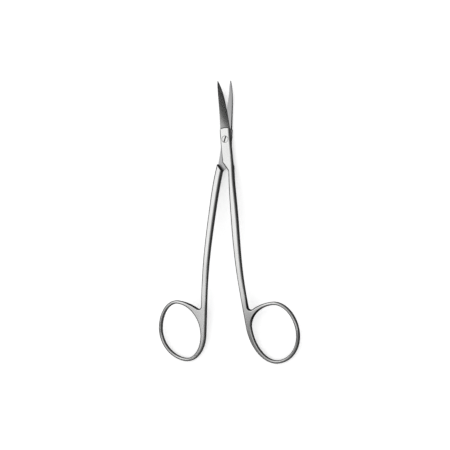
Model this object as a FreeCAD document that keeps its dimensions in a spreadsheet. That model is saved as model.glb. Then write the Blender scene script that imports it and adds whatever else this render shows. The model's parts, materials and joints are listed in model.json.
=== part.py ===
# Small S-curved dissecting scissors with a lap joint, a slotted pivot screw and two finger rings.
# Frame: the pivot axis is Z, Z = 0 is the underside of the joint, the tips point along +Y.
# Each arm is drawn closed, with its handle on one side of the Y axis, and is then turned open.
import FreeCAD, Part
import Sketcher
import math
import os

os.makedirs("parts", exist_ok=True)
doc = FreeCAD.newDocument("DissectingScissors")
sheet = doc.addObject("Spreadsheet::Sheet", "Sizes")

# Driving sizes in millimetres and degrees
sizes = {
    # joint
    "jointThickness": 2.9,
    "lapGap": 0.04,
    "jointFront": 4.1,
    "frontBulge": 0.35,
    "frontHalfWidth": 2.0,
    "frontEdgeSpan": 2.4,
    "bellyHalfWidth": 2.35,
    "backHalfWidth": 2.45,
    "jointBack": 9.3,
    "crotchSetback": 0.2,
    "shoulderTop": 10.6,
    "shoulderReach": 13.1,
    "waistHalfWidth": 2.12,
    "waistStation": 4.0,
    "upperFlareSpan": 2.0,
    "lowerFlareSpan": 2.45,
    "flareStation": 9.0,
    "restHalfAngle": 6.7,
    # shank
    "centreGap": 0.05,
    "shankHalfSpan": 2.7,
    "shankStation": 27.0,
    "shankLowSpan": 2.45,
    "lowStation": 62.0,
    "edgeRound": 0.65,
    # side view of the arm, heights of its mid line above the mid plane of the joint
    "riseStart": 7.0,
    "nearStation": 15.0,
    "nearHeight": 1.3,
    "middleStation": 30.0,
    "middleHeight": 3.7,
    "crestStation": 53.0,
    "crestHeight": 5.0,
    "ringStation": 66.4,
    "ringHeight": 3.6,
    "ringThickness": 2.0,
    "ringEndLift": -0.11,
    # finger ring
    "ringTop": 67.9,
    "ringBottom": 92.9,
    "ringTopX": 13.15,
    "upperRingBottomX": 11.2,
    "lowerRingBottomX": 9.2,
    "ringWidestY": 80.2,
    "upperStraightEnd": 77.0,
    "lowerStraightEnd": 80.5,
    "wireWidth": 1.35,
    "wireShankSide": 2.25,
    "ringTopRadius": 20.0,
    "valleyRadius": 1.2,
    "upperRingSpan": 22.6,
    "lowerRingSpan": 21.7,
    "ringRound": 0.6,
    # blade
    "tipReach": 23.9,
    "tipHalfWidth": 0.12,
    "bladeRoot": 3.0,
    "backBase": 1.65,
    "backMiddle": 1.12,
    "backNose": 0.72,
    "noseStation": 19.6,
    "middleStationBlade": 12.5,
    "cutBase": 2.15,
    "cutMiddle": 1.75,
    "cutNose": 1.1,
    "lowerCutTrim": 0.6,
    "spineBase": 0.92,
    "spineMiddle": 0.76,
    "spineTip": 0.42,
    "outerFaceSlope": 0.26,
    "bevelLean": 0.5,
    "edgeLand": 0.15,
    "bowlStart": 5.5,
    "bowlMiddle": 13.5,
    "bowlMiddleRise": 0.1,
    "bowlTipRise": 1.5,
    # pivot screw
    "headRadius": 1.4,
    "headDepth": 0.75,
    "headRecess": 0.03,
    "headBevel": 0.12,
    "headGap": 0.06,
    "screwRadius": 0.85,
    "runningGap": 0.04,
    "slotWidth": 0.36,
    "slotDepth": 0.3,
    "slotAngle": 19.5,
    # stock drawn larger than the finished arm
    "stockBelow": 6.0,
    "stockHeight": 19.0,
    "stockSide": 30.0,
}
for row, (name, value) in enumerate(sizes.items(), start=1):
    sheet.set(f"A{row}", name)
    sheet.set(f"B{row}", str(value))
    sheet.setAlias(f"B{row}", name)
doc.recompute()


def size(name):
    return float(sheet.get(name))


def point(x, y):
    return FreeCAD.Vector(x, y, 0)


# Curve helpers

def polyline(points):
    return [Part.LineSegment(a, b) for a, b in zip(points[:-1], points[1:])]


def spline(points, startTangent, endTangent):
    curve = Part.BSplineCurve()
    curve.interpolate(Points=points, InitialTangent=startTangent, FinalTangent=endTangent)
    return curve


# An arc that leaves its start at a given angle and reaches its end, with its angle there
def tangentArc(start, angle, end):
    chord = end.sub(start)
    chordAngle = math.atan2(chord.y, chord.x)
    half = (chordAngle - angle) / 2
    reach = chord.Length / (2 * math.cos(half))
    middle = start.add(point(reach * math.cos(angle + half), reach * math.sin(angle + half)))
    return Part.Arc(start, middle, end), 2 * chordAngle - angle


# A quarter of an oval between two of its extreme points, drawn towards their corner
def quarter(start, corner, end):
    pull = 0.5523
    poles = [start, start + (corner - start) * pull, end + (corner - end) * pull, end]
    curve = Part.BezierCurve()
    curve.setPoles(poles)
    return curve.toBSpline()


# Feature helpers

def originPlane(body, role):
    return next(f for f in body.Origin.OriginFeatures if f.Role == role)


def newSketch(body, name, role, curves, lift=None):
    sketch = body.newObject("Sketcher::SketchObject", name)
    sketch.AttachmentSupport = [(originPlane(body, role), "")]
    sketch.MapMode = "FlatFace"
    if lift is not None:
        sketch.setExpression("AttachmentOffset.Base.z", lift)
    for curve in curves:
        sketch.addGeometry(curve, False)
    return sketch


def newPad(body, name, sketch, length):
    pad = body.newObject("PartDesign::Pad", name)
    pad.Profile = sketch
    pad.setExpression("Length", length)
    return pad


# Cut through everything, on both sides of its sketch or only along its normal
def newPocket(body, name, sketch, bothSides=True):
    pocket = body.newObject("PartDesign::Pocket", name)
    pocket.Profile = sketch
    pocket.Type = "ThroughAll"
    pocket.Midplane = bothSides
    pocket.Reversed = not bothSides
    return pocket


def faceNormal(face):
    u, v = face.Surface.parameter(face.CenterOfMass)
    return face.normalAt(u, v)


# Names of the edges between flat-lying faces and upright faces that pass a test
def rimEdges(shape, test):
    owners = {}
    for face in shape.Faces:
        upright = abs(faceNormal(face).z) < 0.3
        for edge in face.Edges:
            owners.setdefault(edge.hashCode(), []).append((upright, face))
    names = []
    for number, edge in enumerate(shape.Edges, start=1):
        pair = owners.get(edge.hashCode(), [])
        if len(pair) != 2 or pair[0][0] == pair[1][0]:
            continue
        wall = pair[0][1] if pair[0][0] else pair[1][1]
        middle = edge.valueAt((edge.FirstParameter + edge.LastParameter) / 2)
        if test(middle, wall):
            names.append(f"Edge{number}")
    return names


def wallNormal(wall, middle):
    u, v = wall.Surface.parameter(middle)
    return wall.normalAt(u, v)


# Mating surface between the arms, as a radius and height profile turned about the pivot axis
def bowlCurves(offset):
    base = size("jointThickness") / 2 + offset
    start = point(size("bowlStart"), base)
    middle = point(size("bowlMiddle"), base + size("bowlMiddleRise"))
    end = point(size("tipReach"), base + size("bowlTipRise"))
    first, angle = tangentArc(start, 0, middle)
    second, angle = tangentArc(middle, angle, end)
    beyond = end + point(math.cos(angle), math.sin(angle)) * 3
    curves = [Part.LineSegment(point(0, base), start), first, second, Part.LineSegment(end, beyond)]
    return curves, point(0, base), beyond


# Outer face of a blade in side view: the mating surface moved out by the blade thickness
def outerCurves(upper):
    sign = 1 if upper else -1
    # the region is drawn beside the arm, on a face that falls towards the cutting edge
    base = size("jointThickness") / 2 + size("outerFaceSlope") * size("stockSide")
    start = point(size("bladeRoot"), base + sign * size("spineBase"))
    middle = point(size("bowlMiddle"), base + size("bowlMiddleRise") + sign * size("spineMiddle"))
    end = point(size("tipReach"), base + size("bowlTipRise") + sign * size("spineTip"))
    root = point(-3, start.y)
    # at the tip it follows the bowl, less the thinning of the blade
    bowl, bowlRoot, bowlBeyond = bowlCurves(0)
    bowlRun = bowlBeyond - bowl[-1].StartPoint
    thinning = (size("spineTip") - size("spineMiddle")) / (size("tipReach") - size("bowlMiddle"))
    endSlope = bowlRun.y / bowlRun.x + sign * thinning
    curve = spline([start, middle, end], point(1, 0), point(1, endSlope))
    beyond = end + point(1, endSlope) * 3
    curves = [Part.LineSegment(root, start), curve, Part.LineSegment(end, beyond)]
    return curves, root, beyond


# Height of the mating surface at a distance from the pivot axis
def bowlHeight(radius):
    curves, start, beyond = bowlCurves(0)
    line = []
    for curve in curves:
        line.extend(curve.toShape().discretize(30))
    for a, b in zip(line[:-1], line[1:]):
        if a.x <= radius <= b.x and b.x > a.x:
            return a.y + (b.y - a.y) * (radius - a.x) / (b.x - a.x)
    return beyond.y


def cuttingCurve(side):
    def at(x, y):
        return point(side * x, y)
    trim = 0 if side > 0 else size("lowerCutTrim")
    tip = size("tipHalfWidth")
    cutTip = at(tip, size("tipReach") - tip)
    nose = at(size("cutNose") - trim, size("noseStation"))
    middle = at(size("cutMiddle") - trim, size("middleStationBlade"))
    cutRoot = at(size("cutBase"), size("bladeRoot"))
    return spline([cutTip, nose, middle, cutRoot], at(0.3, -1), at(0.04, -1))


def bladeOutline(side):
    def at(x, y):
        return point(side * x, y)
    root = size("bladeRoot")
    middleY = size("middleStationBlade")
    noseY = size("noseStation")
    tipY = size("tipReach")
    tip = size("tipHalfWidth")
    backRoot = at(-size("backBase"), root)
    backTip = at(-tip, tipY - tip)
    back = [backRoot, at(-size("backMiddle"), middleY), at(-size("backNose"), noseY), backTip]
    cutRoot = at(size("cutBase"), root)
    return [
        spline(back, at(0.05, 1), at(0.25, 1)),
        Part.Arc(backTip, at(0, tipY), at(tip, tipY - tip)),
        cuttingCurve(side),
        Part.LineSegment(cutRoot, backRoot),
    ]


# Plan of joint, shank and ring: up the back of the joint, down the inner edge, round the ring
def handleOutline(side, arm):
    def at(x, y):
        return point(side * x, y)
    span = size(arm + "RingSpan")
    front = size("jointFront")
    inner = size("centreGap")
    top = -size("ringTop")
    bottom = -size("ringBottom")
    frontBack = at(-size("frontHalfWidth"), front)
    back = at(-size("backHalfWidth"), -size("jointBack"))
    crotch = at(inner, -size("shoulderReach") - size("crotchSetback"))
    straightEnd = at(inner, -size(arm + "StraightEnd"))
    ringBottom = at(size(arm + "RingBottomX"), bottom)
    ringSide = at(span, -size("ringWidestY"))
    ringTop = at(size("ringTopX"), top)
    frontEdge = at(size("frontEdgeSpan"), front)
    low = at(size("shankLowSpan"), -size("lowStation"))
    # the valley arc touches the outer edge of the shank and the top arc of the ring
    topRadius = size("ringTopRadius")
    valley = size("valleyRadius")
    acrossX = size("ringTopX") - size("shankLowSpan") - valley
    drop = math.sqrt((topRadius + valley) ** 2 - acrossX ** 2)
    valleyY = top - topRadius + drop
    valleyCentre = at(size("shankLowSpan") + valley, valleyY)
    topCentre = at(size("ringTopX"), top - topRadius)
    touch = topCentre + (valleyCentre - topCentre) * (topRadius / (topRadius + valley))
    valleyStart = at(size("shankLowSpan"), valleyY)
    lean = math.atan2(drop, acrossX)
    valleyAngle = math.pi + (math.pi - lean) / 2
    valleyMiddle = valleyCentre + at(valley * math.cos(valleyAngle), valley * math.sin(valleyAngle))
    arcAngle = (math.pi / 2 + math.pi - lean) / 2
    topMiddle = topCentre + at(topRadius * math.cos(arcAngle), topRadius * math.sin(arcAngle))
    edgePoints = [
        low,
        at(size("shankHalfSpan"), -size("shankStation")),
        at(size(arm + "FlareSpan"), -size("flareStation")),
        at(size("waistHalfWidth"), -size("waistStation")),
        frontEdge,
    ]
    return [
        Part.Arc(frontBack, at(-size("bellyHalfWidth"), -2), back),
        Part.LineSegment(back, crotch),
        Part.LineSegment(crotch, straightEnd),
        quarter(straightEnd, at(inner, bottom), ringBottom),
        quarter(ringBottom, at(span, bottom), ringSide),
        quarter(ringSide, at(span, top), ringTop),
        Part.Arc(ringTop, topMiddle, touch),
        Part.Arc(touch, valleyMiddle, valleyStart),
        Part.LineSegment(valleyStart, low),
        spline(edgePoints, point(0, 1), at(0.05, 1)),
        Part.Arc(frontEdge, at(0.2, front + size("frontBulge")), frontBack),
    ]


def holeOutline(side, arm):
    def at(x, y):
        return point(side * x, y)
    wire = size("wireWidth")
    left = size("centreGap") + size("wireShankSide")
    right = size(arm + "RingSpan") - wire
    top = -size("ringTop") - wire
    bottom = -size("ringBottom") + wire
    topPoint = at(size("ringTopX"), top)
    bottomPoint = at(size(arm + "RingBottomX"), bottom)
    leftPoint = at(left, -size(arm + "StraightEnd") - 1)
    rightPoint = at(right, -size("ringWidestY"))
    return [
        quarter(topPoint, at(right, top), rightPoint),
        quarter(rightPoint, at(right, bottom), bottomPoint),
        quarter(bottomPoint, at(left, bottom), leftPoint),
        quarter(leftPoint, at(left, top), topPoint),
    ]


# Regions above and below the arm in side view
def profileRegions():
    middle = size("jointThickness") / 2
    start = size("riseStart")
    ring = size("ringStation")
    frontEnd = size("jointFront") + 0.8
    farEnd = size("ringBottom") + 4
    stations = [
        (size("nearStation"), size("nearHeight")),
        (size("middleStation"), size("middleHeight")),
        (size("crestStation"), size("crestHeight")),
        (ring, size("ringHeight")),
    ]

    def halfThickness(y):
        share = (y - start) / (ring - start)
        return (size("jointThickness") * (1 - share) + size("ringThickness") * share) / 2

    lowAtRing = middle + size("ringHeight") - halfThickness(ring)
    slope = (lowAtRing - size("ringEndLift")) / (size("ringBottom") - ring)
    curves = []
    for sign, far in ((1, size("stockHeight")), (-1, -size("stockBelow") - 2)):
        flat = middle + sign * size("jointThickness") / 2
        points = [point(-start, flat)]
        for y, height in stations:
            points.append(point(-y, middle + height + sign * halfThickness(y)))
        end = points[-1] + point(-(farEnd - ring), -slope * (farEnd - ring))
        curves.append(Part.LineSegment(point(frontEnd, flat), points[0]))
        curves.append(spline(points, point(-1, 0), point(-1, -slope)))
        corners = [points[-1], end, point(-farEnd, far), point(frontEnd, far), point(frontEnd, flat)]
        curves.extend(polyline(corners))
    return curves


# The half of the joint taken away so that the arms lie one over the other
def lapRegion(side):
    def at(x, y):
        return point(side * x, y)
    top = size("shoulderTop")
    reach = size("shoulderReach")
    inner = size("centreGap")
    outer = size("backHalfWidth")
    lean = (reach - top) / (outer - inner)
    points = [
        at(inner - 3, -reach - 3 * lean),
        at(outer + 3, -top + 3 * lean),
        at(outer + 3, size("jointFront") + 2),
        at(-outer - 3, size("jointFront") + 2),
        at(-outer - 3, -reach - 3 * lean),
    ]
    return polyline(points + points[:1])


# A blade on its own: plan, outer face, mating bowl and cutting bevel
def makeBlade(label, side, upper):
    body = doc.addObject("PartDesign::Body", label)
    plan = newSketch(body, label + "Plan", "XY_Plane", bladeOutline(side), "-Sizes.stockBelow")
    newPad(body, label + "Stock", plan, "Sizes.stockHeight")
    curves, root, beyond = outerCurves(upper)
    far = size("stockHeight") if upper else -size("stockBelow") - 2
    curves.extend(polyline([beyond, point(beyond.x, far), point(root.x, far), root]))
    outerSide = newSketch(body, label + "Outer", "YZ_Plane", curves, "-Sizes.stockSide")
    outer = newPocket(body, label + "OuterFace", outerSide, False)
    outer.UseCustomVector = True
    outer.Direction = FreeCAD.Vector(1, 0, -size("outerFaceSlope"))
    outer.Reversed = False
    # the bowl under or over the blade is turned about the pivot axis
    offset = size("lapGap") / 2 if upper else -size("lapGap") / 2
    curves, start, beyond = bowlCurves(offset)
    far = -size("stockBelow") - 1 if upper else size("stockHeight")
    curves.extend(polyline([beyond, point(beyond.x, far), point(0, far), start]))
    bowl = body.newObject("PartDesign::Groove", label + "Bowl")
    bowl.Profile = newSketch(body, label + "BowlProfile", "YZ_Plane", curves)
    bowl.ReferenceAxis = (bowl.Profile[0], ["V_Axis"])
    bowl.Angle = 150
    bowl.Midplane = True
    doc.recompute()

    # slanted cut that leaves a narrow land along the cutting edge
    away = 1 if upper else -1
    start = size("jointThickness") / 2
    if not upper:
        start += size("bowlTipRise") + 1
    lean = size("bevelLean")
    line = []
    for at in cuttingCurve(side).toShape().discretize(7):
        gap = abs(bowlHeight(at.y) - start) + size("edgeLand")
        line.append(at + point(side * lean * gap, 0))
    first = line[0]
    last = line[-1]
    far = side * size("stockHeight") / 2
    edge = Part.BSplineCurve()
    edge.interpolate(line)
    over = point(first.x - side * 0.2, size("tipReach") + 2)
    under = point(last.x, last.y - 1)
    region = [edge]
    region.extend(polyline([last, under, point(far, under.y), point(far, over.y), over, first]))
    bevelPlan = newSketch(body, label + "BevelPlan", "XY_Plane", region)
    bevelPlan.AttachmentOffset = FreeCAD.Placement(FreeCAD.Vector(0, 0, start), FreeCAD.Rotation())
    bevel = newPocket(body, label + "Bevel", bevelPlan, False)
    bevel.UseCustomVector = True
    bevel.Direction = FreeCAD.Vector(-side * lean, 0, away)
    bevel.Reversed = False
    doc.recompute()
    return body


def makeArm(label, side, upper):
    body = doc.addObject("PartDesign::Body", label)
    arm = "upper" if upper else "lower"

    # joint plate, shank and ring in plan, cut to the side view
    plan = newSketch(body, label + "HandlePlan", "XY_Plane", handleOutline(side, arm), "-Sizes.stockBelow")
    newPad(body, label + "Handle", plan, "Sizes.stockHeight")
    sideView = newSketch(body, label + "Side", "YZ_Plane", profileRegions(), "-Sizes.stockSide")
    sideCut = newPocket(body, label + "SideCut", sideView, False)
    doc.recompute()

    # rounded long edges, all round the outer contour but not across the front
    def outside(middle, wall):
        return middle.y < size("jointFront") - 0.01

    rounding = body.newObject("PartDesign::Fillet", label + "EdgeRounds")
    rounding.Base = (sideCut, rimEdges(sideCut.Shape, outside))
    rounding.setExpression("Radius", "Sizes.edgeRound")
    doc.recompute()

    # finger hole with rounded rims
    holePlan = newSketch(body, label + "HolePlan", "XY_Plane", holeOutline(side, arm))
    hole = newPocket(body, label + "FingerHole", holePlan)
    doc.recompute()
    centre = point(side * (size(arm + "RingSpan") + size("centreGap")) / 2, -size("ringWidestY"))

    def inside(middle, wall):
        towards = point(centre.x - middle.x, centre.y - middle.y)
        near = towards.Length < size("ringBottom") - size("ringTop")
        return near and wallNormal(wall, middle) * towards > 0

    rims = body.newObject("PartDesign::Fillet", label + "HoleRounds")
    rims.Base = (hole, rimEdges(hole.Shape, inside))
    rims.setExpression("Radius", "Sizes.ringRound")
    doc.recompute()

    # flat lap round the pivot
    offset = size("lapGap") / 2 if upper else -size("lapGap") / 2
    lapSketch = newSketch(body, label + "LapPlan", "XY_Plane", lapRegion(side))
    lapHeight = size("jointThickness") / 2 + offset
    lapSketch.AttachmentOffset = FreeCAD.Placement(FreeCAD.Vector(0, 0, lapHeight), FreeCAD.Rotation())
    lap = body.newObject("PartDesign::Pocket", label + "Lap")
    lap.Profile = lapSketch
    lap.Type = "Length"
    lap.setExpression("Length", "Sizes.stockHeight")
    lap.Reversed = not upper
    doc.recompute()

    blade = makeBlade(label + "Blade", side, upper)
    union = body.newObject("PartDesign::Boolean", label + "Union")
    union.Type = "Fuse"
    union.Group = [blade]
    doc.recompute()
    return body


def circleSketch(body, name, radius, lift):
    circle = Part.Circle(point(0, 0), FreeCAD.Vector(0, 0, 1), 1)
    sketch = newSketch(body, name, "XY_Plane", [circle], lift)
    sketch.addConstraint(Sketcher.Constraint("Coincident", 0, 3, -1, 1))
    sketch.addConstraint(Sketcher.Constraint("Radius", 0, 1))
    sketch.setExpression("Constraints[1]", radius)
    return sketch


def throughHole(body, name, radius):
    newPocket(body, name, circleSketch(body, name + "Plan", radius, None))
    doc.recompute()


# Recess for the screw head, open upwards from its floor
def headRecess(body, name, radius, floor):
    recess = body.newObject("PartDesign::Pocket", name)
    recess.Profile = circleSketch(body, name + "Plan", radius, floor)
    recess.Type = "Length"
    recess.setExpression("Length", "Sizes.jointThickness")
    recess.Reversed = True
    doc.recompute()


def makeScrew(label):
    body = doc.addObject("PartDesign::Body", label)
    shankPlan = circleSketch(body, label + "ShankPlan", "Sizes.screwRadius", None)
    newPad(body, label + "Shank", shankPlan, "Sizes.jointThickness - Sizes.headRecess")
    floor = "Sizes.jointThickness - Sizes.headRecess - Sizes.headDepth"
    headPlan = circleSketch(body, label + "HeadPlan", "Sizes.headRadius", floor)
    head = newPad(body, label + "Head", headPlan, "Sizes.headDepth")
    doc.recompute()
    topZ = size("jointThickness") - size("headRecess")
    rims = []
    for number, edge in enumerate(head.Shape.Edges, start=1):
        box = edge.BoundBox
        if abs(box.ZMin - topZ) < 0.01 and box.ZLength < 0.01:
            rims.append(f"Edge{number}")
    bevel = body.newObject("PartDesign::Chamfer", label + "HeadBevel")
    bevel.Base = (head, rims)
    bevel.setExpression("Size", "Sizes.headBevel")
    # slot across the head, turned from the Y axis
    half = size("slotWidth") / 2
    reach = size("headRadius") + 0.5
    turn = -math.radians(size("slotAngle"))
    corners = []
    for x, y in ((-half, -reach), (half, -reach), (half, reach), (-half, reach), (-half, -reach)):
        corners.append(point(x * math.cos(turn) - y * math.sin(turn), x * math.sin(turn) + y * math.cos(turn)))
    slotLift = "Sizes.jointThickness - Sizes.headRecess - Sizes.slotDepth"
    slot = body.newObject("PartDesign::Pocket", label + "Slot")
    slot.Profile = newSketch(body, label + "SlotPlan", "XY_Plane", polyline(corners), slotLift)
    slot.Type = "Length"
    slot.setExpression("Length", "Sizes.headDepth")
    slot.Reversed = True
    doc.recompute()
    return body


upperArm = makeArm("upper_arm", 1, True)
throughHole(upperArm, "upper_armPivotHole", "Sizes.screwRadius + Sizes.runningGap")
recessFloor = "Sizes.jointThickness - Sizes.headRecess - Sizes.headDepth - Sizes.headGap"
headRecess(upperArm, "upper_armHeadRecess", "Sizes.headRadius + Sizes.headGap", recessFloor)

lowerArm = makeArm("lower_arm", -1, False)
throughHole(lowerArm, "lower_armPivotHole", "Sizes.screwRadius")

pivotScrew = makeScrew("pivot_screw")

# Open both arms to the rest pose
axis = FreeCAD.Vector(0, 0, 1)
half = size("restHalfAngle")
upperArm.Placement = FreeCAD.Placement(FreeCAD.Vector(0, 0, 0), FreeCAD.Rotation(axis, half))
lowerArm.Placement = FreeCAD.Placement(FreeCAD.Vector(0, 0, 0), FreeCAD.Rotation(axis, -half))
doc.recompute()

for item in doc.Objects:
    if "Invalid" in item.State or "Error" in item.State:
        raise RuntimeError(f"{item.Label} is {item.State}")
for body in (upperArm, lowerArm, pivotScrew):
    solid = body.Shape
    if solid.isNull() or not solid.isValid() or len(solid.Solids) != 1:
        raise RuntimeError(f"{body.Label} has no single valid solid")
    print(body.Label, round(solid.Volume, 2), solid.BoundBox)
for body in (upperArm, lowerArm, pivotScrew):
    body.Shape.exportStep(f"parts/{body.Label}.step")
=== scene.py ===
import json
import math

import bpy
from mathutils import Matrix, Vector

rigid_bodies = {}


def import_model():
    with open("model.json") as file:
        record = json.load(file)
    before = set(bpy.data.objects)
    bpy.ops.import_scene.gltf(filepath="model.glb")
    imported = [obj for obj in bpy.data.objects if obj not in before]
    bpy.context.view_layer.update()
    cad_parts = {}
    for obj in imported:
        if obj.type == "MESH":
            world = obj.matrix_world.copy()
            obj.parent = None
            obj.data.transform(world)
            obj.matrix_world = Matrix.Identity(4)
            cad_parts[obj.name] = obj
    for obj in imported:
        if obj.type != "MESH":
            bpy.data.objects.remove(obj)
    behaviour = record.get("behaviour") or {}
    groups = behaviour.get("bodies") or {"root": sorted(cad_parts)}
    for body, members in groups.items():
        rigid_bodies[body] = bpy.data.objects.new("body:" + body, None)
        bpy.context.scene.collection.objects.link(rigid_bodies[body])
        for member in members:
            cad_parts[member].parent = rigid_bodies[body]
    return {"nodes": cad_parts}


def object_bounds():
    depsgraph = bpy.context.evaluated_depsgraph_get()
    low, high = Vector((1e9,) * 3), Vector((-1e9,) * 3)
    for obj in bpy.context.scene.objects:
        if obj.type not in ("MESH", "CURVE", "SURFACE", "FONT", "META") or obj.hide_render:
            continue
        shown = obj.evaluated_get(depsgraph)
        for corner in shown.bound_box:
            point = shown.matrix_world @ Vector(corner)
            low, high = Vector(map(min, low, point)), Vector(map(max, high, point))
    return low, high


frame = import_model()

cadLow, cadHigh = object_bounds()
print("frame: scissors loaded,", len(frame["nodes"]), "pieces")


def addNode(tree, kind, place, **settings):
    node = tree.nodes.new(kind)
    node.location = place
    for name, value in settings.items():
        setattr(node, name, value)
    return node


def newMaterial(name):
    material = bpy.data.materials.new(name)
    material.use_nodes = True
    material.node_tree.nodes.clear()
    return material


# 0 at the first limit and 1 at the second
def fadeBetween(tree, place, value, limits):
    node = addNode(tree, "ShaderNodeMapRange", place)
    node.inputs["From Min"].default_value = limits[0]
    node.inputs["From Max"].default_value = limits[1]
    tree.links.new(value, node.inputs["Value"])
    return node.outputs["Result"]


def mathNode(tree, place, operation, *values):
    node = addNode(tree, "ShaderNodeMath", place, operation=operation)
    for socket, value in zip(node.inputs, values):
        if isinstance(value, float):
            socket.default_value = value
        else:
            tree.links.new(value, socket)
    return node.outputs["Value"]


def vectorNode(tree, place, operation, vector, other=None):
    node = addNode(tree, "ShaderNodeVectorMath", place, operation=operation)
    tree.links.new(vector, node.inputs[0])
    if other:
        node.inputs[1].default_value = other
    return node.outputs["Value"]


# the position turned about the pivot, with its height left out
def flatPlan(tree, place, whole, turn):
    node = addNode(tree, "ShaderNodeMapping", place, vector_type="POINT")
    node.inputs["Rotation"].default_value = (0.0, 0.0, turn)
    node.inputs["Scale"].default_value = (1.0, 1.0, 0.0)
    tree.links.new(whole, node.inputs["Vector"])
    return node.outputs["Vector"]


def shaded(tree, place, colour, mask, shade):
    node = addNode(tree, "ShaderNodeMixRGB", place, blend_type="MULTIPLY")
    node.inputs["Color2"].default_value = shade
    tree.links.new(mask, node.inputs["Fac"])
    tree.links.new(colour, node.inputs["Color1"])
    return node.outputs["Color"]


def dulled(tree, place, roughness, mask, amount):
    return mathNode(tree, place, "MULTIPLY_ADD", mask, amount, roughness)


# sizes are in metres; the pivot stands on the origin, with the joint's underside at zero
matingFacts = {
    "lapLevel": 0.00145,
    "lapBack": (-0.0132, -0.0128),         # along Y, where the ground face begins
    "bow": (0.006, 0.0239),                # from the pivot, where the blade's face rises
    "bowPower": 3.1,
    "bowRise": 0.0015,
    "near": (0.0002, 0.0001),              # from the ground face
    "shade": (0.62, 0.62, 0.63, 1.0),
    "dulling": 0.12,                       # added to the roughness
}


# the mating faces are ground dull, and darkened as painted shade between the arms: the lap of the
# joint and, ahead of it, the bowed blade face
def matingGroundAndShadeMask(tree, whole, parts):
    reach = vectorNode(tree, (-1700, 900), "LENGTH", whole)
    share = fadeBetween(tree, (-1500, 900), reach, matingFacts["bow"])
    bend = mathNode(tree, (-1300, 900), "POWER", share, matingFacts["bowPower"])
    rise = mathNode(tree, (-1100, 900), "MULTIPLY", bend, matingFacts["bowRise"])
    level = mathNode(tree, (-900, 900), "ADD", rise, matingFacts["lapLevel"])
    away = mathNode(tree, (-700, 900), "SUBTRACT", parts["Z"], level)
    gap = mathNode(tree, (-500, 900), "ABSOLUTE", away)
    near = fadeBetween(tree, (-300, 900), gap, matingFacts["near"])
    ahead = fadeBetween(tree, (-300, 1100), parts["Y"], matingFacts["lapBack"])
    return mathNode(tree, (-100, 900), "MULTIPLY", near, ahead)


cornerFacts = {
    "frontStart": (-0.00002, 0.00002),     # ahead of the joint's front edge
    "frontEnd": (0.00046, 0.00036),
    "ahead": (0.0, 0.0005),                # along Y, which leaves out the joint's back
    "wall": (0.00014, 0.00008),            # from the shoulder wall
    "shade": (0.14, 0.14, 0.14, 1.0),      # this and the next are the screw slot's too
    "dulling": 0.3,
}


# painted shade in the corners: a dark band at the foot of the joint's front edge and along the
# milled shoulder
def paintedCornerShadeMask(tree, flat, parts, marks):
    innerFace = tuple(reversed(marks["outerFace"]))
    outer = fadeBetween(tree, (-1100, 1700), parts["Z"], marks["outerFace"])
    inner = fadeBetween(tree, (-1100, 1500), parts["Z"], innerFace)
    radius = vectorNode(tree, (-1500, 1500), "DISTANCE", flat, marks["frontCentre"])
    fromEdge = mathNode(tree, (-1300, 1500), "SUBTRACT", radius, marks["frontRadius"])
    started = fadeBetween(tree, (-900, 1700), fromEdge, cornerFacts["frontStart"])
    ended = fadeBetween(tree, (-900, 1500), fromEdge, cornerFacts["frontEnd"])
    ahead = fadeBetween(tree, (-900, 1900), parts["Y"], cornerFacts["ahead"])
    band = mathNode(tree, (-700, 1600), "MULTIPLY", started, ended)
    frontBand = mathNode(tree, (-500, 1700), "MULTIPLY", band, ahead)
    front = mathNode(tree, (-300, 1700), "MULTIPLY", frontBand, outer)
    along = vectorNode(tree, (-1500, 1300), "DOT_PRODUCT", flat, marks["shoulderNormal"])
    fromWall = mathNode(tree, (-1300, 1300), "ADD", along, marks["shoulderOffset"])
    wallGap = mathNode(tree, (-1100, 1300), "ABSOLUTE", fromWall)
    wallBand = fadeBetween(tree, (-900, 1300), wallGap, cornerFacts["wall"])
    wall = mathNode(tree, (-500, 1400), "MULTIPLY", wallBand, inner)
    return mathNode(tree, (-100, 1500), "MAXIMUM", front, wall)


# painted shade by how level the surface is; the limits of how level it is: 1 is flat and 0 is a
# wall
edgeShadeFacts = {
    "level": (0.93, 0.72),
    "shade": (0.66, 0.66, 0.66, 1.0),
    "rootLevel": (0.99, 0.93),
    "rootReach": (0.0060, 0.0030),         # from the valley at the ring's root
    "rootShade": (0.12, 0.12, 0.12, 1.0),
}


# painted shade: darker where the surface tilts away from level, as on the rolled edges, and
# darkest in the valley where the ring leaves the shank
def paintedEdgeShadeMasks(tree, whole, marks):
    facing = addNode(tree, "ShaderNodeNewGeometry", (-1900, 2100))
    normal = addNode(tree, "ShaderNodeSeparateXYZ", (-1700, 2100))
    tree.links.new(facing.outputs["Normal"], normal.inputs["Vector"])
    level = mathNode(tree, (-1500, 2100), "ABSOLUTE", normal.outputs["Z"])
    paintedEdgeShade = fadeBetween(tree, (-500, 2100), level, edgeShadeFacts["level"])
    plan = flatPlan(tree, (-1700, 2400), whole, 0.0)
    fromRoot = vectorNode(tree, (-1500, 2400), "DISTANCE", plan, marks["ringRoot"])
    nearRoot = fadeBetween(tree, (-1300, 2400), fromRoot, edgeShadeFacts["rootReach"])
    rolled = fadeBetween(tree, (-1300, 2200), level, edgeShadeFacts["rootLevel"])
    paintedRootShade = mathNode(tree, (-1100, 2300), "MULTIPLY", nearRoot, rolled)
    return paintedEdgeShade, paintedRootShade


slotFacts = {
    "sunk": (0.00282, 0.00277),            # heights, from the head's face down
    "across": (0.9426, -0.3338, 0.0),      # direction across the slot
    "rims": (0.00031, 0.00025),            # from the slot's middle
    "head": (0.0005, 0.0010),              # heights, from the plain end up
}
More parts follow.
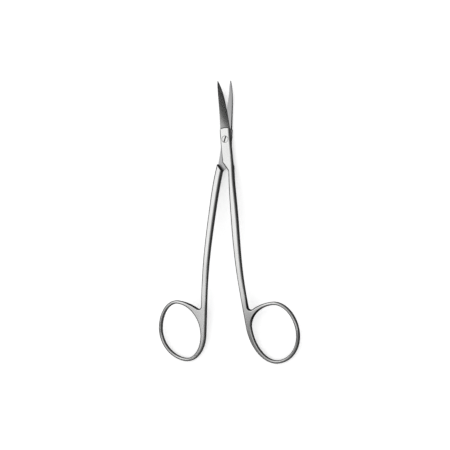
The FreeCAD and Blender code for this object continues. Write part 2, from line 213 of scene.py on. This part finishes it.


# painted shade in the screw's slot and along its rims
def paintedSlotShadeMask(tree, whole, parts):
    sunk = fadeBetween(tree, (-500, 1300), parts["Z"], slotFacts["sunk"])
    across = vectorNode(tree, (-900, 1500), "DOT_PRODUCT", whole, slotFacts["across"])
    fromMiddle = mathNode(tree, (-700, 1500), "ABSOLUTE", across)
    rims = fadeBetween(tree, (-500, 1500), fromMiddle, slotFacts["rims"])
    dark = mathNode(tree, (-300, 1400), "MAXIMUM", sunk, rims)
    head = fadeBetween(tree, (-500, 1100), parts["Z"], slotFacts["head"])
    return mathNode(tree, (-100, 1200), "MULTIPLY", dark, head)


# long faint lines left by the polishing wheel, along the piece
def polishingLines(tree, whole, finish, turn):
    stretch = addNode(tree, "ShaderNodeMapping", (-1000, 200), vector_type="TEXTURE")
    stretch.inputs["Rotation"].default_value = (0.0, 0.0, turn)
    stretch.inputs["Scale"].default_value = finish["lineSize"]
    tree.links.new(whole, stretch.inputs["Vector"])
    lines = addNode(tree, "ShaderNodeTexNoise", (-800, 200))
    lines.inputs["Scale"].default_value = 1.0        # the stretch gives their size
    lines.inputs["Detail"].default_value = finish["lineDetail"]
    lines.inputs["Roughness"].default_value = finish["lineRoughness"]
    tree.links.new(stretch.outputs["Vector"], lines.inputs["Vector"])
    return lines.outputs["Fac"]


def steelTone(tree, lines, finish):
    ramp = addNode(tree, "ShaderNodeValToRGB", (-550, 300))
    for stop, position, tone in zip(ramp.color_ramp.elements, finish["contrast"], finish["tones"]):
        stop.position = position
        stop.color = tone
    tree.links.new(lines, ramp.inputs["Fac"])
    return ramp.outputs["Color"]


# broad handling marks, which change only the gloss
def handlingMarks(tree, whole, finish):
    smudges = addNode(tree, "ShaderNodeTexNoise", (-800, -100))
    smudges.inputs["Scale"].default_value = finish["smudgeScale"]
    smudges.inputs["Detail"].default_value = finish["smudgeDetail"]
    tree.links.new(whole, smudges.inputs["Vector"])
    shine = addNode(tree, "ShaderNodeMapRange", (-550, -100))
    shine.inputs["From Min"].default_value = finish["contrast"][0]
    shine.inputs["From Max"].default_value = finish["contrast"][1]
    shine.inputs["To Min"].default_value = finish["roughness"][0]
    shine.inputs["To Max"].default_value = finish["roughness"][1]
    tree.links.new(smudges.outputs["Fac"], shine.inputs["Value"])
    return shine.outputs["Result"]


def steelMaterial(name, finish, marks=None):
    material = newMaterial(name)
    tree = material.node_tree
    link = tree.links.new
    whole = addNode(tree, "ShaderNodeTexCoord", (-2100, 0)).outputs["Object"]
    split = addNode(tree, "ShaderNodeSeparateXYZ", (-1900, 700))
    link(whole, split.inputs["Vector"])
    turn = math.radians(marks["turn"]) if marks else 0.0

    lines = polishingLines(tree, whole, finish, turn)
    tone = steelTone(tree, lines, finish)
    roughness = handlingMarks(tree, whole, finish)
    if marks:
        closedPlan = flatPlan(tree, (-1700, 1400), whole, -turn)
        paintedCornerAndSlotShade = paintedCornerShadeMask(tree, closedPlan, split.outputs, marks)
        matingGroundAndShade = matingGroundAndShadeMask(tree, whole, split.outputs)
        paintedEdgeShade, paintedRootShade = paintedEdgeShadeMasks(tree, whole, marks)
        # painted shade on tilted edges and in the valley at the ring's root
        tone = shaded(tree, (-400, 500), tone, paintedEdgeShade, edgeShadeFacts["shade"])
        tone = shaded(tree, (-320, 600), tone, paintedRootShade, edgeShadeFacts["rootShade"])
        # painted shade between the arms on the mating faces, which are also ground rougher
        tone = shaded(tree, (-250, 400), tone, matingGroundAndShade, matingFacts["shade"])
        roughness = dulled(tree, (-350, -100), roughness, matingGroundAndShade, matingFacts["dulling"])
    else:
        # painted shade in the screw's slot and along its rims
        paintedCornerAndSlotShade = paintedSlotShadeMask(tree, whole, split.outputs)
    # painted shade in the arms' corners, and on the screw in its slot, both also made rougher
    tone = shaded(tree, (-80, 400), tone, paintedCornerAndSlotShade, cornerFacts["shade"])
    roughness = dulled(tree, (-180, -100), roughness, paintedCornerAndSlotShade, cornerFacts["dulling"])

    grooves = addNode(tree, "ShaderNodeBump", (-300, -350))
    grooves.inputs["Strength"].default_value = finish["lineStrength"]
    grooves.inputs["Distance"].default_value = finish["lineDepth"]
    link(lines, grooves.inputs["Height"])

    steel = addNode(tree, "ShaderNodeBsdfPrincipled", (150, 0))
    steel.inputs["Metallic"].default_value = 1.0
    link(tone, steel.inputs["Base Color"])
    link(roughness, steel.inputs["Roughness"])
    link(grooves.outputs["Normal"], steel.inputs["Normal"])
    output = addNode(tree, "ShaderNodeOutputMaterial", (450, 0))
    link(steel.outputs["BSDF"], output.inputs["Surface"])
    return material


def dress(node, material):
    for slot in frame["nodes"][node].material_slots:
        slot.material = material


armFinish = {
    "lineSize": (0.0004, 0.0083, 0.0004),
    "lineDetail": 4.0,
    "lineRoughness": 0.6,
    "lineStrength": 0.25,
    "lineDepth": 0.00001,
    "smudgeScale": 60.0,
    "smudgeDetail": 3.0,
    "contrast": (0.3, 0.7),
    "tones": ((0.70, 0.70, 0.695, 1.0), (0.76, 0.76, 0.755, 1.0)),
    "roughness": (0.16, 0.24),
}
screwFinish = dict(armFinish, lineSize=(0.0011, 0.0011, 0.0011), roughness=(0.2, 0.28))

# the joint's front edge and shoulder wall are given for the closed arm, the rest as it lies
armMarks = {
    "upper_arm": {
        "turn": 6.7,                       # degrees from the closed pose
        "ringRoot": (0.0122, -0.0693, 0.0),
        "outerFace": (0.00160, 0.00165),   # heights, from the lap out
        "frontCentre": (0.0002, -0.00264, 0.0),
        "frontRadius": 0.00709,
        "shoulderNormal": (-0.7214, 0.6925, 0.0),
        "shoulderOffset": 0.009108,
    },
    "lower_arm": {
        "turn": -6.7,
        "ringRoot": (-0.0134, -0.0688, 0.0),
        "outerFace": (0.00130, 0.00125),
        "frontCentre": (-0.0002, -0.00264, 0.0),
        "frontRadius": 0.00709,
        "shoulderNormal": (0.7214, 0.6925, 0.0),
        "shoulderOffset": 0.009108,
    },
}

for armName, marks in armMarks.items():
    dress(armName, steelMaterial(armName + "Steel", armFinish, marks))
dress("pivot_screw", steelMaterial("screwSteel", screwFinish))
print("steel: arms and screw dressed")


# 1 on rays from the camera, off metal or through glass, otherwise 0
def seenRays(tree):
    rays = addNode(tree, "ShaderNodeLightPath", (-700, 0)).outputs
    seen = mathNode(tree, (-500, 0), "MAXIMUM", rays["Is Camera Ray"], rays["Is Glossy Ray"])
    return mathNode(tree, (-320, 0), "MAXIMUM", seen, rays["Is Transmission Ray"])


floorFacts = {
    "side": 4.0,
    "tone": (0.80, 0.80, 0.80, 1.0),
    "lift": 0.44,                          # white that only the camera and the metal see
}


def backdropMaterial(facts):
    material = newMaterial("paleFloor")
    tree = material.node_tree
    link = tree.links.new
    strength = mathNode(tree, (-140, 0), "MULTIPLY", seenRays(tree), facts["lift"])
    glow = addNode(tree, "ShaderNodeEmission", (40, 0))
    link(strength, glow.inputs["Strength"])
    paint = addNode(tree, "ShaderNodeBsdfDiffuse", (40, 200))
    paint.inputs["Color"].default_value = facts["tone"]
    both = addNode(tree, "ShaderNodeAddShader", (240, 100))
    link(paint.outputs["BSDF"], both.inputs[0])
    link(glow.outputs["Emission"], both.inputs[1])
    output = addNode(tree, "ShaderNodeOutputMaterial", (440, 100))
    link(both.outputs["Shader"], output.inputs["Surface"])
    return material


def deselectAll():
    for thing in bpy.data.objects:
        thing.select_set(False)


deselectAll()
bpy.ops.mesh.primitive_plane_add(size=floorFacts["side"], location=(0, 0, cadLow.z))
floor = bpy.context.active_object
floor.name = "studioFloor"
floor.data.materials.append(backdropMaterial(floorFacts))

# cards that only the metal mirrors; each fades along one axis between two tones, and its
# height is from the floor
cardFacts = {
    "right": {                             # leans over, which keeps the right sides dark
        "place": (0.14, 0.0, 0.26),
        "sides": (0.735, 1.2),
        "turn": (0.0, 45.0, 0.0),          # degrees
        "along": "Z",
        "fade": (0.08, 0.52),
        "tones": (0.07, 0.8),
    },
    "front": {
        "place": (0.0, -0.5, 0.225),
        "sides": (1.0, 0.45),
        "turn": (90.0, 0.0, 0.0),
        "along": "Z",
        "fade": (0.15, 0.45),
        "tones": (0.12, 0.9),
    },
    "left": {
        "place": (-0.5, 0.0, 0.30),
        "sides": (0.60, 1.2),
        "turn": (0.0, 90.0, 0.0),
        "along": "Z",
        "fade": (0.24, 0.55),
        "tones": (0.05, 0.95),
    },
    "back": {
        "place": (0.0, 0.5, 0.225),
        "sides": (1.0, 0.45),
        "turn": (90.0, 0.0, 0.0),
        "along": "Z",
        "fade": (0.12, 0.42),
        "tones": (0.12, 0.95),
    },
    "table": {                             # lies on the floor, under the arms
        "place": (0.115, -0.05, 0.0),
        "sides": (0.47, 0.70),
        "turn": (0.0, 0.0, 0.0),
        "along": "X",
        "fade": (-0.03, 0.0),
        "tones": (0.10, 0.06),
    },
    "leftRing": {                          # this and the next hang low over the ring end
        "place": (-0.083, -0.165, 0.060),
        "sides": (0.076, 0.172),
        "turn": (0.0, 0.0, 0.0),
        "along": "Y",
        "fade": (-0.081, -0.102),
        "tones": (1.0, 0.2),
    },
    "rightRing": {
        "place": (0.0425, -0.165, 0.060),
        "sides": (0.155, 0.172),
        "turn": (0.0, 0.0, 0.0),
        "along": "Y",
        "fade": (-0.081, -0.102),
        "tones": (1.0, 0.2),
    },
    "blade": {                             # close above the upper blade, turned to its edge
        "place": (0.0112, 0.0339, 0.022),
        "sides": (0.040, 0.043),
        "turn": (0.0, 0.0, 24.8),
        "along": "Y",
        "fade": (0.006, 0.045),
        "tones": (0.03, 0.03),
    },
}
cardLift = 0.0001                          # so that no card lies in the floor


def cardMaterial(name, facts):
    material = newMaterial(name + "Card")
    tree = material.node_tree
    link = tree.links.new
    coordinates = addNode(tree, "ShaderNodeTexCoord", (-600, 0))
    parts = addNode(tree, "ShaderNodeSeparateXYZ", (-400, 0))
    link(coordinates.outputs["Object"], parts.inputs["Vector"])
    fade = addNode(tree, "ShaderNodeMapRange", (-200, 0))
    fade.inputs["From Min"].default_value = facts["fade"][0]
    fade.inputs["From Max"].default_value = facts["fade"][1]
    fade.inputs["To Min"].default_value = facts["tones"][0]
    fade.inputs["To Max"].default_value = facts["tones"][1]
    link(parts.outputs[facts["along"]], fade.inputs["Value"])
    paint = addNode(tree, "ShaderNodeEmission", (0, 0))
    link(fade.outputs["Result"], paint.inputs["Strength"])
    output = addNode(tree, "ShaderNodeOutputMaterial", (200, 0))
    link(paint.outputs["Emission"], output.inputs["Surface"])
    return material


def mirroredCard(name, facts):
    deselectAll()
    bpy.ops.mesh.primitive_plane_add(size=1.0)
    card = bpy.context.active_object
    card.name = name + "Card"
    card.location = Vector(facts["place"]) + Vector((0, 0, cadLow.z + cardLift))
    card.rotation_euler = [math.radians(angle) for angle in facts["turn"]]
    card.scale = (*facts["sides"], 1.0)
    bpy.ops.object.transform_apply(location=True, rotation=True, scale=True)
    card.data.materials.append(cardMaterial(name, facts))
    card.visible_camera = False
    card.visible_diffuse = False
    card.visible_shadow = False


for cardName, facts in cardFacts.items():
    mirroredCard(cardName, facts)
print("studio: floor and", len(cardFacts), "cards set")

lampFacts = {
    "side": 1.0,
    "power": 0.55,
    "place": (-0.45, 0.45, 0.90),
}


def softLamp(name, facts):
    lampData = bpy.data.lights.new(name, "AREA")
    lampData.shape = "SQUARE"
    lampData.size = facts["side"]
    lampData.energy = facts["power"]
    lamp = bpy.data.objects.new(name, lampData)
    bpy.context.scene.collection.objects.link(lamp)
    lamp.location = facts["place"]
    lamp.rotation_euler = (-lamp.location).to_track_quat("-Z", "Y").to_euler()


softLamp("overheadLamp", lampFacts)

worldFacts = {
    "tone": (1.0, 1.0, 1.0, 1.0),
    "fill": 0.92,                          # what lights the object
    "shown": 1.0,                          # what the camera and the metal see
}


def studioWorld(facts):
    world = bpy.data.worlds.new("studioWorld")
    world.use_nodes = True
    tree = world.node_tree
    tree.nodes.clear()
    link = tree.links.new
    strength = addNode(tree, "ShaderNodeMapRange", (-140, 0))
    strength.inputs["To Min"].default_value = facts["fill"]
    strength.inputs["To Max"].default_value = facts["shown"]
    link(seenRays(tree), strength.inputs["Value"])
    sky = addNode(tree, "ShaderNodeBackground", (60, 0))
    sky.inputs["Color"].default_value = facts["tone"]
    link(strength.outputs["Result"], sky.inputs["Strength"])
    output = addNode(tree, "ShaderNodeOutputWorld", (260, 0))
    link(sky.outputs["Background"], output.inputs["Surface"])
    bpy.context.scene.world = world


studioWorld(worldFacts)
bpy.context.scene.view_settings.view_transform = "Standard"
print("studio: lamp and world set")

cameraFacts = {
    "aim": (0.0, 0.0, 0.00145),            # the pivot, at the joint's middle plane
    "lean": 25.0,                          # degrees to the right of straight above
    "roll": 0.573,                         # degrees
    "distance": 0.600,
    "aimRight": 0.00055,                   # the pivot's place in the picture, from its middle
    "aimUp": 0.0350,
    "viewWidth": 0.1838,                   # of the picture, at the pivot
    "filmWidth": 36.0,                     # millimetres
    "reach": (0.01, 20.0),
}


def makeCamera(facts):
    lean = math.radians(facts["lean"])
    roll = math.radians(facts["roll"])
    towards = Vector((math.sin(lean), 0, math.cos(lean)))
    levelRight = Vector((math.cos(lean), 0, -math.sin(lean)))
    levelUp = Vector((0, 1, 0))
    right = levelRight * math.cos(roll) - levelUp * math.sin(roll)
    up = levelUp * math.cos(roll) + levelRight * math.sin(roll)
    middle = Vector(facts["aim"]) - right * facts["aimRight"] - up * facts["aimUp"]
    place = middle + towards * facts["distance"]
    lens = bpy.data.cameras.new("photoCamera")
    lens.sensor_width = facts["filmWidth"]
    lens.lens = facts["filmWidth"] * facts["distance"] / facts["viewWidth"]
    lens.clip_start, lens.clip_end = facts["reach"]
    camera = bpy.data.objects.new("photoCamera", lens)
    bpy.context.scene.collection.objects.link(camera)
    camera.matrix_world = Matrix((
        (right.x, up.x, towards.x, place.x),
        (right.y, up.y, towards.y, place.y),
        (right.z, up.z, towards.z, place.z),
        (0, 0, 0, 1),
    ))
    bpy.context.scene.camera = camera


makeCamera(cameraFacts)
print("camera: at the picture's angle")
